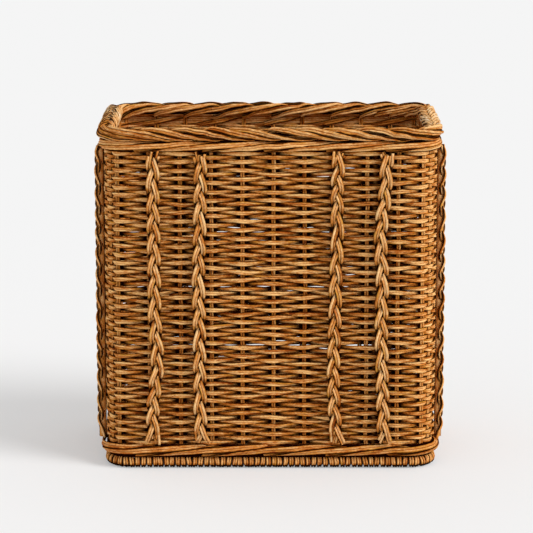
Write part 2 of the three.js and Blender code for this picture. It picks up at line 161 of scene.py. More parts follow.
def lay_rods(
    name, paths, radius, toward, finish, nodes, closed=False, sides=8, facing=None, raised=1.0
):
    """Round rods, one along each path. Every point of a path gets a ring, the point + radius
    (cos a N + sin a B): N is `toward` squared off against the path's direction T, B is T x N,
    and a goes once round. The attribute `grain` is each point's place in its own rod, across and
    along, from a start of its own, so that no two rods look alike. `tone` is the rod's own tone,
    0.5 + a draw for the rod + 0.12 of slow change along it. `open` is painted light and shade:
    near 0 in the creases and under other rods, where painted shade goes, and 1 on the crests,
    where a painted highlight goes. It is |c|^1.5 (0.62 + 0.5 c h), where c is the cosine between
    the ring's direction and `facing`, and h is `raised`, 1 on top of the weave and -1 under it."""
    farthest_start, rod_spread, change_length = 40.0, 0.17, 0.09
    count, steps = paths.shape[:2]
    if closed:
        step = np.roll(paths, -1, 1) - np.roll(paths, 1, 1)
    else:
        step = np.gradient(paths, axis=1)
    direction = unit(step)
    toward = np.broadcast_to(toward, paths.shape)
    normal = unit(toward - direction * (toward * direction).sum(-1, keepdims=True))
    side = np.cross(direction, normal)
    turn = np.arange(sides) * whole_turn / sides
    radius = np.broadcast_to(radius, (count, steps))[..., None]
    across, aside = radius * np.cos(turn), radius * np.sin(turn)
    ring = across[..., None] * normal[:, :, None]
    points = paths[:, :, None] + ring + aside[..., None] * side[:, :, None]
    facing = toward if facing is None else np.broadcast_to(facing, paths.shape)
    normal_faces = (normal * facing).sum(-1, keepdims=True)
    side_faces = (side * facing).sum(-1, keepdims=True)
    cosine = (across * normal_faces + aside * side_faces) / radius
    raised = np.broadcast_to(raised, (count, steps))[..., None]
    # Painted light and shade by how each point faces: dark in the creases, light on the crests.
    painted_light_share = np.abs(cosine) ** 1.5 * np.clip(0.62 + 0.5 * cosine * raised, 0, 1)
    corners, sizes = rod_faces(count, steps, sides, closed)
    mesh = bpy.data.meshes.new(name)
    mesh.vertices.add(count * steps * sides)
    mesh.vertices.foreach_set("co", points.ravel())
    mesh.loops.add(len(corners))
    mesh.loops.foreach_set("vertex_index", corners)
    mesh.polygons.add(len(sizes))
    mesh.polygons.foreach_set("loop_start", np.cumsum(sizes) - sizes)
    mesh.polygons.foreach_set("use_smooth", sizes == 4)
    mesh.update(calc_edges=True)
    step_lengths = np.linalg.norm(np.diff(paths, axis=1, prepend=paths[:, :1]), axis=-1)
    gone = np.cumsum(step_lengths, 1) + dice.uniform(0, farthest_start, (count, 1))
    own_tone = 0.5 + dice.normal(0, rod_spread, (count, 1))
    tone = own_tone + 0.12 * wander(count, gone, change_length)
    in_rod = np.stack([across, aside, np.broadcast_to(gone[..., None], across.shape)], -1)
    for attribute, kind, field, values in (
        ("grain", "FLOAT_VECTOR", "vector", in_rod),
        ("tone", "FLOAT", "value", np.broadcast_to(tone[..., None], across.shape)),
        ("open", "FLOAT", "value", painted_light_share),
    ):
        mesh.attributes.new(attribute, kind, "POINT").data.foreach_set(field, values.ravel())
    mesh.materials.append(finish)
    piece = bpy.data.objects.new(name, mesh)
    bpy.context.scene.collection.objects.link(piece)
    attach(piece, "root")
    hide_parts(*nodes)


def weighed(nodes, links, operation, *terms):
    """One Math node; each term is a socket or a number."""
    sum_node = nodes.new("ShaderNodeMath")
    sum_node.operation = operation
    for socket, term in zip(sum_node.inputs, terms):
        if isinstance(term, (int, float)):
            socket.default_value = term
        else:
            links.new(term, socket)
    return sum_node.outputs[0]


def blended(nodes, links, amount, first, second):
    """One colour Mix node, from `first` to `second`."""
    mix = nodes.new("ShaderNodeMix")
    mix.data_type = "RGBA"
    links.new(amount, mix.inputs["Factor"])
    links.new(first, mix.inputs["A"])
    links.new(second, mix.inputs["B"])
    return mix.outputs["Result"]


def ranged(nodes, links, value, low, high, most=1.0):
    """One Map Range node: 0 below `low`, `most` above `high`, evenly in between."""
    span = nodes.new("ShaderNodeMapRange")
    span.inputs["From Min"].default_value = low
    span.inputs["From Max"].default_value = high
    span.inputs["To Max"].default_value = most
    links.new(value, span.inputs["Value"])
    return span.outputs["Result"]


grain = bpy.data.node_groups.new("rattan_grain", "ShaderNodeTree")
colour_names = ("Deep", "Dark", "Middle", "Light", "Red", "Straw")
for socket in colour_names:
    grain.interface.new_socket(name=socket, in_out="INPUT", socket_type="NodeSocketColor")
grain.interface.new_socket(name="Colour", in_out="OUTPUT", socket_type="NodeSocketColor")
for socket in ("Roughness", "Gloss", "Height"):
    grain.interface.new_socket(name=socket, in_out="OUTPUT", socket_type="NodeSocketFloat")
inner = (grain.nodes, grain.links)
colours = grain.nodes.new("NodeGroupInput").outputs
results = grain.nodes.new("NodeGroupOutput").inputs
read = {}
for attribute in ("grain", "tone", "open"):
    read[attribute] = grain.nodes.new("ShaderNodeAttribute")
    read[attribute].attribute_name = attribute
painted_light_read = read["open"].outputs["Fac"]

# Each kind of mark: how many there are in a metre across the rod and along it, and their detail.
kinds_of_mark = {
    "fibre": (3200, 45, 2),
    "stain": (90, 26, 3),
    "mottle": (420, 170, 2),
    "redness": (60, 22, 1),
    "straw": (300, 60, 1),
    "speckle": (1000, 420, 1),
    "pores": (2200, 420, 1),
}
marks = {
    kind: wood_noise(*inner, read["grain"].outputs["Vector"], (across, across, along), detail)
    for kind, (across, along, detail) in kinds_of_mark.items()
}

# The wood's tone is a share of each of four marks and the rod's own tone, with a painted
# highlight added on the crests, where `open` is high. The dark wood turns to the middle colour
# up to 0.34, and to the light one from 0.46 on.
toned = -2.22
for kind, share in (("fibre", 0.8), ("stain", 1.3), ("mottle", 1.2), ("speckle", 1.0)):
    toned = weighed(*inner, "MULTIPLY_ADD", marks[kind], share, toned)
painted_crest_highlight = ranged(*inner, painted_light_read, low=0.45, high=1.0, most=0.5)
painted_crest_highlight = weighed(*inner, "ADD", painted_crest_highlight, read["tone"].outputs["Fac"])
toned = weighed(*inner, "ADD", toned, painted_crest_highlight)
dark_to_middle = ranged(*inner, toned, low=0.0, high=0.34)
to_red = ranged(*inner, marks["redness"], low=0.48, high=0.70, most=0.8)
to_straw = ranged(*inner, marks["straw"], low=0.55, high=0.72, most=0.6)
to_light = ranged(*inner, toned, low=0.46, high=1.12)
flecks = ranged(*inner, marks["pores"], low=0.60, high=0.72, most=0.7)
# Painted shade: where `open` is low, the colour goes to the near-black Deep one.
out_of_painted_shade = ranged(*inner, painted_light_read, low=0.10, high=0.29)
wood = blended(*inner, dark_to_middle, colours["Dark"], colours["Middle"])
wood = blended(*inner, to_red, wood, colours["Red"])
wood = blended(*inner, to_straw, wood, colours["Straw"])
wood = blended(*inner, to_light, wood, colours["Light"])
wood = blended(*inner, flecks, wood, colours["Dark"])
grain.links.new(blended(*inner, out_of_painted_shade, colours["Deep"], wood), results["Colour"])
rough = weighed(*inner, "MULTIPLY_ADD", marks["fibre"], -0.3, 0.75)
grain.links.new(rough, results["Roughness"])
# The thin coat follows the same painted light: none in the painted shade, most on the crests.
grain.links.new(ranged(*inner, painted_light_read, low=0.35, high=0.95, most=0.3), results["Gloss"])
grain.links.new(weighed(*inner, "SUBTRACT", marks["fibre"], flecks), results["Height"])


def rattan(name, dark, middle, light, red, straw):
    """Split and dried rattan: the shared grain between its colours, with painted shade, near black,
    in the creases and a painted highlight on the crests, a fine raised fibre, and a thin gloss coat
    that is kept out of the painted shade."""
    # Painted shade: the near-black colour of the creases and the gaps between rods.
    creases = (0.011, 0.0007, 0.0002)
    finish = bpy.data.materials.new(name)
    finish.use_nodes = True
    nodes, links = finish.node_tree.nodes, finish.node_tree.links
    look = nodes.new("ShaderNodeGroup")
    look.node_tree = grain
    for socket, colour in zip(colour_names, (creases, dark, middle, light, red, straw)):
        look.inputs[socket].default_value = (*colour, 1)
    skin = nodes["Principled BSDF"]
    skin.inputs["Specular IOR Level"].default_value = 0.0
    skin.inputs["Coat Roughness"].default_value = 0.35
    links.new(look.outputs["Colour"], skin.inputs["Base Color"])
    links.new(look.outputs["Roughness"], skin.inputs["Roughness"])
    links.new(look.outputs["Gloss"], skin.inputs["Coat Weight"])
    fibres = nodes.new("ShaderNodeBump")
    fibres.inputs["Strength"].default_value = 0.35
    fibres.inputs["Distance"].default_value = 0.0002
    links.new(look.outputs["Height"], fibres.inputs["Height"])
    links.new(fibres.outputs["Normal"], skin.inputs["Normal"])
    return finish


foot_finish = rattan(
    "foot_rattan",
    dark=(0.18, 0.031, 0.002),
    middle=(0.58, 0.195, 0.029),
    light=(0.95, 0.53, 0.19),
    red=(0.42, 0.1, 0.008),
    straw=(0.62, 0.29, 0.034),
)
turns, turn_steps, cane = 170, 14, 0.00122
foot_middle, foot_inset = 0.00615, 0.0015
second_rod_lag, crowding, jostle = 0.41, 0.0005, 0.00016
turn_angle = np.arange(turns * turn_steps) * whole_turn / turn_steps
binding_run = turn_angle * line_length / whole_turn / turns
binding_start = side_starts[2] + straight_x
lag = np.array([[0.0], [second_rod_lag]]) * line_length / turns
binding_s = binding_start + binding_run[None] + lag
binding_s = binding_s + crowding * wander(1, binding_run, 0.02)
binding_s = binding_s + jostle * wander(2, binding_run, 0.012)
slant = 0.0009 + 0.0007 * wander(1, binding_run, 0.03)
binding_s = binding_s + slant * np.sin(turn_angle)
binding_reach = foot_middle - cane + 0.0003 * wander(2, binding_run, 0.014)
binding_out = -foot_inset - binding_reach * np.cos(turn_angle)
binding_radius = cane * (1 + 0.07 * wander(2, binding_run, 0.03))
binding_height = np.maximum(foot_middle + binding_reach * np.sin(turn_angle), binding_radius)
binding_outward = outline(binding_s)[1]
along_foot = np.cross(up, binding_outward)
from_hoop = np.sin(turn_angle)[:, None] * up - np.cos(turn_angle)[:, None] * binding_outward

# The painted shade of two rods side by side is turned a little towards each other, so it is
# darker round the pair than between its rods. The undersides of the turns, near the floor, are
# in painted shadow.
to_partner = np.array([0.25, -0.25])[:, None, None] * along_foot
binding_raised_and_shadow = np.clip(2.4 + 8 * np.sin(turn_angle), -1.3, 1)
lay_rods(
    "binding_turns",
    placed(binding_s, binding_out, binding_height),
    binding_radius,
    along_foot,
    foot_finish,
    ["foot_binding"],
    facing=unit(from_hoop + to_partner),
    raised=binding_raised_and_shadow,
)

# Stakes: pairs of thin rattan rods side by side. Nine pairs run down the front, under the base
# and up the back, four pairs do so from side to side, and three more stand in each corner.
stake_finish = rattan(
    "stake_rattan",
    dark=(0.18, 0.031, 0.002),
    middle=(0.6, 0.2, 0.029),
    light=(0.95, 0.53, 0.19),
    red=(0.43, 0.1, 0.008),
    straw=(0.62, 0.28, 0.033),
)
stake_rod, stake_top = 0.00117, 0.3405
across_count, along_count, across_shift = 9, 4, 0.0032
across_share = (np.arange(across_count) + 0.5) / across_count
along_share = (np.arange(along_count) + 0.5) / along_count
across_places = 2 * straight_x * across_share - straight_x + across_shift
along_places = 2 * straight_y * along_share - straight_y
right, back = np.array([1.0, 0.0, 0.0]), np.array([0.0, 1.0, 0.0])
across_reach, along_reach = 0.092, 0.165
across_height, along_height = 0.0141, 0.0174


def crossing_stakes(places, reach, base_height, side, outwards):
    """Pairs of rods in the shape of a U: down one wall at `reach` before the middle, round a
    quarter circle, flat along the base at `base_height`, and up the other wall. `side` is the
    direction in which `places` are measured and `outwards` the one of the reach. Painted shade
    lies along both flanks of each rod, square to its outer side, which is turned a little towards
    the pair's other rod."""
    bend, point_distance = 0.00405, 0.006
    pair_sway, rod_sway = 0.0005, 0.00015
    low = base_height + bend
    quarter = np.linspace(0, math.pi / 2, 6)[1:-1]
    wall = np.linspace(stake_top, low, 52)
    floor = np.linspace(-reach + bend, reach - bend, 30)
    bend_run = -reach + bend - bend * np.cos(quarter)
    bend_height = low - bend * np.sin(quarter)
    down = np.concatenate([wall, bend_height])
    height = np.concatenate([down, base_height + 0 * floor, down[::-1]])
    run = np.concatenate([-reach + 0 * wall, bend_run, floor, -bend_run[::-1], reach + 0 * wall])
    apart = np.repeat(places, 2)[:, None] + np.tile([-stake_rod, stake_rod], len(places))[:, None]
    travelled = np.arange(len(run)) * point_distance
    apart = apart + pair_sway * np.repeat(wander(len(places), travelled, 0.2), 2, 0)
    apart = apart + rod_sway * wander(len(apart), travelled, 0.08)
    paths = apart[..., None] * side + (run[:, None] * outwards + height[:, None] * up)[None]
    to_partner = np.tile([0.4, -0.4], len(places))[:, None, None] * side
    outer_side = np.cross(unit(np.gradient(paths, axis=1)), side) * np.cross(side, outwards)[2]
    return paths, unit(outer_side + to_partner)


for kind, places, reach, base_height, side, outwards in (
    ("across_stake", across_places, across_reach, across_height, right, back),
    ("along_stake", along_places, along_reach, along_height, back, right),
):
    paths, faces = crossing_stakes(places, reach, base_height, side, outwards)
    nodes = [f"{kind}_{k + 1}" for k in range(len(places))]
    lay_rods(f"{kind}s", paths, stake_rod, faces, stake_finish, nodes, raised=0)
corner_foot, corner_sway = 0.0128, 0.0002
from_long_side = np.array([0.35, 0.62, 0.9])
corner_shares = np.stack([from_long_side, 1 - from_long_side[::-1]] * 2)
corner_lengths = (side_starts[:4] + side_lengths)[:, None] + corner_arc * corner_shares
corner_names = ["front_right", "back_right", "back_left", "front_left"]
standing = np.linspace(corner_foot, stake_top, 54)
in_pair = np.tile([-stake_rod, stake_rod], corner_lengths.size)
corner_s = np.repeat(corner_lengths.ravel(), 2) + in_pair
corner_s = corner_s[:, None] + corner_sway * wander(len(corner_s), standing, 0.1)
lay_rods(
    "corner_stakes",
    placed(corner_s, 0.0, standing),
    stake_rod,
    outline(corner_s)[1],
    stake_finish,
    [f"corner_stake_{corner}_{k + 1}" for corner in corner_names for k in range(3)],
    raised=0,
)

# Base: a mat of thin rods in pairs, woven over and under the nine stakes that cross the base,
# inside the foot. The four stakes that run lengthwise take the place of rows.
weaver_finish = rattan(
    "weaver_rattan",
    dark=(0.19, 0.032, 0.002),
    middle=(0.63, 0.21, 0.03),
    light=(0.98, 0.58, 0.22),
    red=(0.46, 0.105, 0.008),
    straw=(0.66, 0.3, 0.036),
)
weaver = 0.0013
mat_pitch, along_stake_room = 0.00425, 0.002
mat_straight, mat_corner = 0.1396, 0.0186
over_rise, nip_rise, mat_stray, left_of_mat = 0.0025, 0.0011, 0.0002, 0.2
row_places = np.arange(-20, 21) * mat_pitch
row_places = row_places[np.abs(row_places[:, None] - along_places).min(1) > along_stake_room]
past_straight = np.maximum(np.abs(row_places) - straight_y, 0)
row_reach = mat_straight + np.sqrt(mat_corner**2 - past_straight**2)
row_x = row_reach[:, None] * np.linspace(-1, 1, 81)
crossing = (row_x - across_places[0]) / (across_places[1] - across_places[0])
starts_over = np.where(np.arange(len(row_places)) % 2 == 0, 1, -1)[:, None]
over = np.cos(math.pi * crossing) * starts_over
at_stake = np.cos(math.pi * crossing) ** 2

# At a stake the rods of a pair lie side by side; between stakes they nip one over the other.
mat = []
for hand in (-1, 1):
    beside = hand * (0.00095 + 0.00035 * at_stake)
    stray = mat_stray * wander(len(row_places), row_x + left_of_mat, 0.1)
    mat_z = across_height + over_rise * over + hand * nip_rise * (1 - at_stake)
    mat.append(np.stack([row_x, row_places[:, None] + beside + stray, mat_z], -1))
# Painted shade where a pair of rods passes under a stake.
lay_rods(
    "base_mat",
    np.concatenate(mat),
    weaver,
    back,
    weaver_finish,
    ["base_weave"],
    facing=up,
    raised=np.concatenate([over, over]),
)

# Foot wale: a band round the bottom of the wall, three strands of two rods each, which pass in
# front of the stakes over each other and then behind them, like a flat rope.
wale_finish = rattan(
    "wale_rattan",
    dark=(0.2, 0.034, 0.003),
    middle=(0.61, 0.21, 0.032),
    light=(0.92, 0.53, 0.2),
    red=(0.46, 0.11, 0.009),
    straw=(0.63, 0.29, 0.038),
)
front_stakes = side_starts[0] + straight_x + across_places
right_stakes = side_starts[1] + straight_y + along_places
back_stakes = side_starts[2] + straight_x - across_places[::-1]
left_stakes = side_starts[3] + straight_y + along_places
straight_stakes = [front_stakes, right_stakes, back_stakes, left_stakes]
wale_stations = np.concatenate(
    [part for k in range(4) for part in (straight_stakes[k], [corner_lengths[k].mean()])]
)

# How raised the straight rods inside a band are: so little that they are painted dark all round,
# painted shade inside the band.
hidden = -1.25


def between(stations, at):
    """Length along the stake line at station number `at`, evenly between neighbouring stations
    and on round the basket past the last one."""
    laps = np.concatenate([stations + lap * line_length for lap in range(-1, 3)])
    return np.interp(at, np.arange(len(laps)) - len(stations), laps)


def wale(name, middle_height, half_height, straight_rods):
    """Three strands of two rods twisted round each other, in front of straight rods: strand
    i at station u has the angle a = b - 0.55 sin b with b = 2 pi (u / 6 - i / 3), which keeps it
    longer in front than behind, lies 2.6 + 4.4 cos a mm in front of the stakes and half_height
    sin(a + 0.3) above the band's middle. The two rods of a strand lie side by side on the band,
    that is, square to its section's radius; they are out of the painted shade where the strand
    is in front and in it where the strand goes behind.
    `straight_rods` gives the place of each straight rod, in front of the stakes and above the
    floor."""
    rod, station_steps, stray = 0.00148, 12, 0.0003
    longer_in_front, middle_out, half_depth, tilt = 0.55, 0.0026, 0.0044, 0.3
    station = np.arange(len(wale_stations) * station_steps) / station_steps
    length = between(wale_stations, station)
    outward = outline(length)[1]
    even = whole_turn * (station / 6 - np.arange(3)[:, None] / 3)
    angle = even - longer_in_front * np.sin(even)
    paths = [placed(length, out, height) for out, height in straight_rods]
    facing = [outward] * len(paths)
    raised = [np.full(len(length), hidden)] * len(paths)
    for turned in angle:
        loose = wander(2, length, 0.12)
        cosine, sine = np.cos(turned), np.sin(turned)
        radial = outward * cosine[:, None] + up * sine[:, None]
        tangent = up * cosine[:, None] - outward * sine[:, None]
        out = middle_out + half_depth * cosine + stray * loose[0]
        height = middle_height + half_height * np.sin(turned + tilt) + stray * loose[1]
        for hand in (-1, 1):
            paths.append(placed(length, out, height) + hand * rod * tangent)
            facing.append(unit(radial - 0.5 * hand * tangent))
            raised.append(np.clip(0.7 + 1.4 * cosine, -1.2, 1))
    radius = rod * (1 + 0.07 * wander(len(paths), length, 0.1))
    lay_rods(
        f"{name}_strands",
        np.stack(paths),
        radius,
        up,
        wale_finish,
        [name],
        closed=True,
        sides=10,
        facing=np.stack(facing),
        raised=np.stack(raised),
    )


foot_filling = [(0.0003, 0.0119)] + [(0.0018, 0.0136 + 0.0025 * k) for k in range(5)]
wale("foot_wale", middle_height=0.0186, half_height=0.0044, straight_rods=foot_filling)

# Wall weave: seventy rows of two thin rods each, which go in front of one stake and behind the
# next. Over a stake the two rods lie one above the other; between stakes they nip together.
stake_line = np.concatenate(
    [part for k in range(4) for part in (straight_stakes[k], corner_lengths[k])]
)
stakes = len(stake_line)
gaps = np.diff(np.append(stake_line, stake_line[0] + line_length))

# A row has more points where the stakes stand wider apart.
pieces_per_gap = np.select([gaps > 0.025, gaps > 0.012], [8, 6], 4)
part_way = np.concatenate([np.arange(pieces) / pieces for pieces in pieces_per_gap])
knots = np.repeat(np.arange(stakes), pieces_per_gap) + part_way
weave_s = between(stake_line, knots)
side_middles = side_starts[:4] + side_lengths / 2
long_places = straight_x * np.array([-0.83, -0.505, 0.465, 0.8])
short_places = straight_y * np.array([-0.8, 0.8])
braid_places = [long_places, short_places, long_places, short_places]
braid_lengths = np.concatenate([side_middles[k] + braid_places[k] for k in range(4)])
rows, wall_bottom, wall_height = 70, 0.0249, 0.3025
row_sag, row_stray, out_stray, height_stray = 0.00033, 0.00028, 0.00018, 0.0001
uneven_rows = np.arange(rows) + 0.5 + 0.07 * dice.normal(size=rows)
row_height = wall_bottom + wall_height * uneven_rows / rows
row_number = np.arange(rows)[:, None]
in_front = np.cos(math.pi * knots) * np.where(row_number % 2 == 0, 1, -1)
over_stake = np.cos(math.pi * knots) ** 2

# The wales keep the rows next to them level; the sixth row away sags as much as the middle ones.
freedom = np.minimum(1, np.minimum(row_number + 1, rows - row_number) / 6)

# Slow waves in the rows' height, a little shifted from each row to the next.
sag = sum(
    np.sin(whole_turn * waves * weave_s / line_length + 0.11 * waves * row_number + start)
    for waves, start in ((9, 0.3), (14, 5.1), (23, 4.0))
)
narrow_gap, wider_by = 0.010, 0.015
room = np.interp(knots, np.arange(stakes + 1), np.append(gaps, gaps[0]))
roomy = np.clip((room - narrow_gap) / wider_by, 0, 1)
swing = 0.0015 + 0.0012 * roomy
nip = 0.0011 * roomy
level = row_height[:, None] + freedom * (row_sag * sag + row_stray * wander(rows, weave_s, 0.11))
weave = []
for hand in (-1, 1):
    out = swing * in_front + hand * nip * (1 - over_stake) + out_stray * wander(rows, weave_s, 0.06)
    height = level + hand * (0.00085 + 0.0004 * over_stake)
    height = height + height_stray * wander(rows, weave_s, 0.04)
    weave.append(placed(weave_s, out, height))
weave = np.stack(weave, 1).reshape(2 * rows, len(knots), 3)

# Each rod starts behind a stake that is drawn for it, goes once round and ends a little past its
# start. Both of its ends are tucked inwards.
past_start, tuck_steps, tuck_depth = 5, 3, 0.0013
first_stake = dice.integers(0, stakes // 2, 2 * rows) * 2 + 1 - np.repeat(np.arange(rows) % 2, 2)
first_knot = np.concatenate([[0], np.cumsum(pieces_per_gap)])[first_stake]
steps = np.arange(len(knots) + past_start)
onward = (first_knot[:, None] - 2 + steps) % len(knots)
inwards = -outline(weave_s)[1][onward]
tucked = np.clip(1 - np.minimum(steps, steps[::-1]) / tuck_steps, 0, 1)
weave = np.take_along_axis(weave, onward[..., None], 1)
weave = weave + tuck_depth * tucked[:, None] * inwards

# Painted shade where a row goes behind a stake, and painted shadow under the braids, about 4 mm to
# each side.
half_line, braid_half_width = line_length / 2, 0.004
to_braid = np.mod(weave_s - braid_lengths[:, None] + half_line, line_length) - half_line
under_braid = np.clip(1.6 - np.abs(to_braid).min(0) / braid_half_width, 0, 1)
painted_light_there = np.clip(1.6 * in_front + 0.2, -1.2, 1) - 1.5 * under_braid
front_and_braid_shadow = np.take_along_axis(np.repeat(np.clip(painted_light_there, -1.2, 1), 2, 0), onward, 1)
rod_spread = 0.05 * dice.normal(size=(2 * rows, 1))
thickness = weaver * (1 + rod_spread + 0.04 * wander(2 * rows, weave_s, 0.08)[:, :1])
to_partner = np.tile([0.5, -0.5], rows)[:, None, None] * up
rods_in_piece = 2 * rows // 4
for band in range(4):
    chosen = slice(rods_in_piece * band, rods_in_piece * (band + 1))
    lay_rods(
        f"wall_rows_{band + 1}",
        weave[chosen],
        thickness[chosen],
        up,
        weaver_finish,
        ["wall_weave"],
        facing=unit(to_partner[chosen] - inwards[chosen]),
        raised=front_and_braid_shadow[chosen],
    )

# Rim wale: the same band as the foot wale, three strands of two rattan rods each twisted through
# the stakes at the top of the wall, where it holds the last rows down and carries the border.
rim_filling = [(0.0018, 0.3277 + 0.0024 * k) for k in range(5)]
wale("rim_wale", middle_height=0.3320, half_height=0.0036, straight_rods=rim_filling)

# Rim border: the tops of the stakes, bent down and plaited along the rim round five thick rods.
# Outer strands cross the top and slant down the outer face, inner ones end cut off inside. At
# the basket's ends the strands are painted paler, a painted highlight for the light that falls
# on the rim there.
border_finish = rattan(
    "border_rattan",
    dark=(0.19, 0.034, 0.003),
    middle=(0.6, 0.21, 0.033),
    light=(0.96, 0.57, 0.23),
    red=(0.46, 0.11, 0.01),
    straw=(0.63, 0.3, 0.038),
)
# Painted highlight: paler colours for the strands at the basket's ends, lit on the rim.
painted_highlight_finish = rattan(
    "painted_highlight_rattan",
    dark=(0.33, 0.095, 0.018),
    middle=(0.83, 0.47, 0.18),
    light=(0.99, 0.81, 0.56),
    red=(0.70, 0.32, 0.09),
    straw=(0.80, 0.50, 0.19),
)
# The five thick rods are in painted shade all round, dark in the gaps of the plait.
core_rod = 0.0023
core_length = between(stake_line, np.arange(4 * stakes) / 4)
core_spots = [
    (-0.0023, 0.3436), (0.0029, 0.3436), (0.0003, 0.3452), (0.0003, 0.3422), (-0.0022, 0.3397),
]
lay_rods(
    "border_core",
    np.stack([placed(core_length, out, height) for out, height in core_spots]),
    core_rod,
    up,
    border_finish,
    ["rim_border"],
    closed=True,
    raised=hidden,
)


def through(places, values, at):
    """A smooth curve through the values at key places: a cubic between two places, whose slope
    at each is weighed from the slopes of the straight lines to its two neighbours."""
    slope = np.gradient(values, places, axis=0)
    k = np.clip(np.searchsorted(places, at, side="right") - 1, 0, len(places) - 2)
    width = (places[k + 1] - places[k])[..., None]
    t = (at - places[k])[..., None] / width
    start = values[k] * (1 + 2 * t) * (1 - t) ** 2 + slope[k] * width * t * (1 - t) ** 2
    return start + values[k + 1] * t**2 * (3 - 2 * t) - slope[k + 1] * width * t**2 * (1 - t)


def border_strands(name, keys, steps, chosen, rod, finish, painted_shade_weight):
    """One strand from each of the `chosen` wale stations, of two rods. A key is the strand's
    place in stations to the right of its own, in mm in front of the stake line and in mm above
    the border's underside. One rod lies a little further out from the border's middle and the
    other beside it, at 24 degrees to the surface. `raised` is the last argument, the weight of
    the painted shade, times what grows from -1 at 0.45 to 1 at 0.85 of the way from the border's
    middle to its oval outline, so that the plait's inner parts are in painted shade."""
    border_bottom, stray, oval = 0.339, 0.0005, np.array([0.009, 0.0046])
    turning_point, oval_middle = np.array([0.0005, 0.006]), np.array([0.0005, 0.0065])
    flattened = np.array([0.7, 1.0])
    keys = np.array(keys)
    at = np.linspace(keys[0, 0], keys[-1, 0], steps)
    paths, facing, raised = [], [], []
    for station in chosen:
        section = through(keys[:, 0], keys[:, 1:], at + dice.normal(0, 0.09)) / 1000
        radial = unit((section - turning_point) * flattened)
        lying = np.stack([-radial[:, 1], radial[:, 0]], -1)
        length = between(wale_stations, station + at)
        outward = outline(length)[1]
        loose = wander(2, length, 0.07)
        for hand in (-1, 1):
            spot = section + hand * rod * (0.91 * lying + 0.41 * radial)
            way = np.linalg.norm((spot - oval_middle) / oval, axis=-1)
            raised.append(painted_shade_weight * np.clip((way - 0.65) / 0.2, -1, 1))
            tilted = unit(radial - 0.4 * hand * lying)
            facing.append(outward * tilted[:, :1] + up * tilted[:, 1:])
            out = spot[:, 0] + stray * loose[0]
            paths.append(placed(length, out, border_bottom + spot[:, 1] + stray * loose[1]))
    radius = rod * (1 + 0.09 * dice.normal(size=(len(paths), 1)).clip(-2, 2))
    lay_rods(
        name,
        np.stack(paths),
        radius,
        np.stack(facing),
        finish,
        ["rim_border"],
        raised=np.stack(raised),
    )


outer_keys = [
    (0.00, 0.0, -1.0), (0.30, 0.2, 3.0), (0.55, 0.6, 6.4), (0.75, 1.4, 8.9), (1.00, 3.2, 10.0),
    (1.25, 5.2, 9.7), (1.50, 6.5, 8.5), (1.85, 7.2, 6.5), (2.25, 7.3, 4.2), (2.60, 6.9, 2.2),
    (2.90, 5.9, 0.9), (3.15, 3.9, 0.6), (3.40, 1.5, 1.6),
]
inner_keys = [
    (0.40, 0.6, 3.0), (0.62, 0.2, 6.8), (0.82, -0.8, 9.0), (1.05, -2.6, 10.0), (1.30, -4.6, 9.4),
    (1.60, -5.9, 8.0), (1.95, -6.3, 6.2), (2.30, -6.4, 4.6), (2.60, -6.2, 3.0), (2.85, -5.6, 1.2),
    (3.05, -4.8, -1.4),
]

# One strand from each station of the front and back, and two from each one of the ends and of the
# corners before them, where the border is plaited closer.
front_right, back_left, front_left = range(9), range(13, 24), range(28, 30)
outer_at_corner = [26.5, 27, 27.5]
outer_at_sides = [*front_right, *back_left, *front_left]
inner_at_sides = [
    *front_right, *np.arange(11, 13, 0.5), *back_left, *np.arange(26, 28, 0.5), *front_left,
]
outer_at_ends = [*np.arange(8.5, 13, 0.5), *np.arange(23.5, 26.5, 0.5)]
inner_at_ends = [*np.arange(8.5, 11, 0.5), *np.arange(23.5, 26, 0.5)]
outer_way, inner_way = (outer_keys, 54), (inner_keys, 48)
# The last number is the weight of the painted shade: a fifth of it at the corners and ends.
for name, (keys, steps), chosen, rod, finish, painted_shade_weight in (
    ("border_outer_strands", outer_way, outer_at_sides, 0.0015, border_finish, 1),
    ("border_inner_strands", inner_way, inner_at_sides, 0.0015, border_finish, 1),
    ("border_corner_strands", outer_way, outer_at_corner, 0.0016, border_finish, 0.2),
    ("border_end_outer_strands", outer_way, outer_at_ends, 0.0017, painted_highlight_finish, 0.2),
    ("border_end_inner_strands", inner_way, inner_at_ends, 0.0017, painted_highlight_finish, 0.2),
):
    border_strands(name, keys, steps, chosen, rod, finish, painted_shade_weight)

# Braids: plaits of three strands, two rods in each, over a thick rod on the outside of the wall:
# four on the front, four on the back and two at each end. The strands spread where they start
# under the rim wale and where they end, just above the foot wale, and each rod is cut by itself.
braid_finish = rattan(
    "braid_rattan",
    dark=(0.22, 0.045, 0.004),
    middle=(0.69, 0.265, 0.048),
    light=(0.98, 0.62, 0.28),
    red=(0.54, 0.15, 0.017),
    straw=(0.7, 0.36, 0.055),
)
braid_rod, lobe, braid_top = 0.00154, 0.0216, 0.3290


